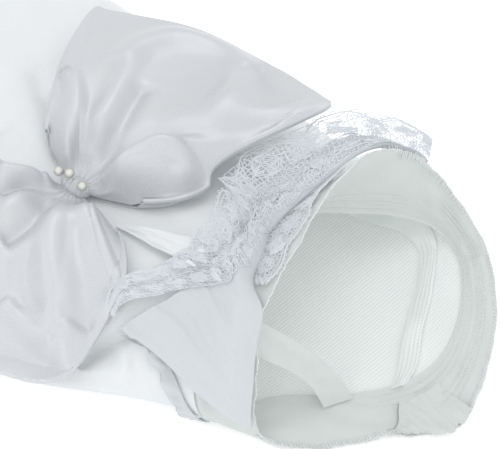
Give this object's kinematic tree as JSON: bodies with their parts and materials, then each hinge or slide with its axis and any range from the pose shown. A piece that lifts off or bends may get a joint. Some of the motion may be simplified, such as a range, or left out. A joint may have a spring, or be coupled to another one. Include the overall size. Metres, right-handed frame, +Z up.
{
  "type": "fingerless bridal glove",
  "caption": "Fingerless satin dress glove lying flat, with a sheer hand opening, a turned-back frill edged with lace, and a satin bow with pearls.",
  "frame": {"origin": "middle of the footprint, on the surface that the glove lies on", "axes": "+X from the arm opening to the hand opening, +Y to the far side, away from the thumb, +Z up from the palm side to the bow"},
  "size_m": [0.2216, 0.1234, 0.0386],
  "materials": {
    "body_satin": "matt-backed ribbed satin",
    "sheer_cloth": "sheer woven organza",
    "lace": "knitted floral net",
    "bow_satin": "glossy satin",
    "pearl": "coated bead"
  },
  "bodies": {
    "root": {"glove_body": "body_satin", "mouth_band": "sheer_cloth", "thumb_strap": "sheer_cloth", "flounce": "sheer_cloth", "lace_edging": "lace", "lace_edging_fold": "lace", "lace_edging_mouth": "lace", "bow_wing_right": "bow_satin", "bow_wing_left": "bow_satin", "bow_tail": "bow_satin", "bow_knot": "bow_satin", "pearl_1": "pearl", "pearl_2": "pearl", "pearl_3": "pearl"}
  },
  "joints": []
}
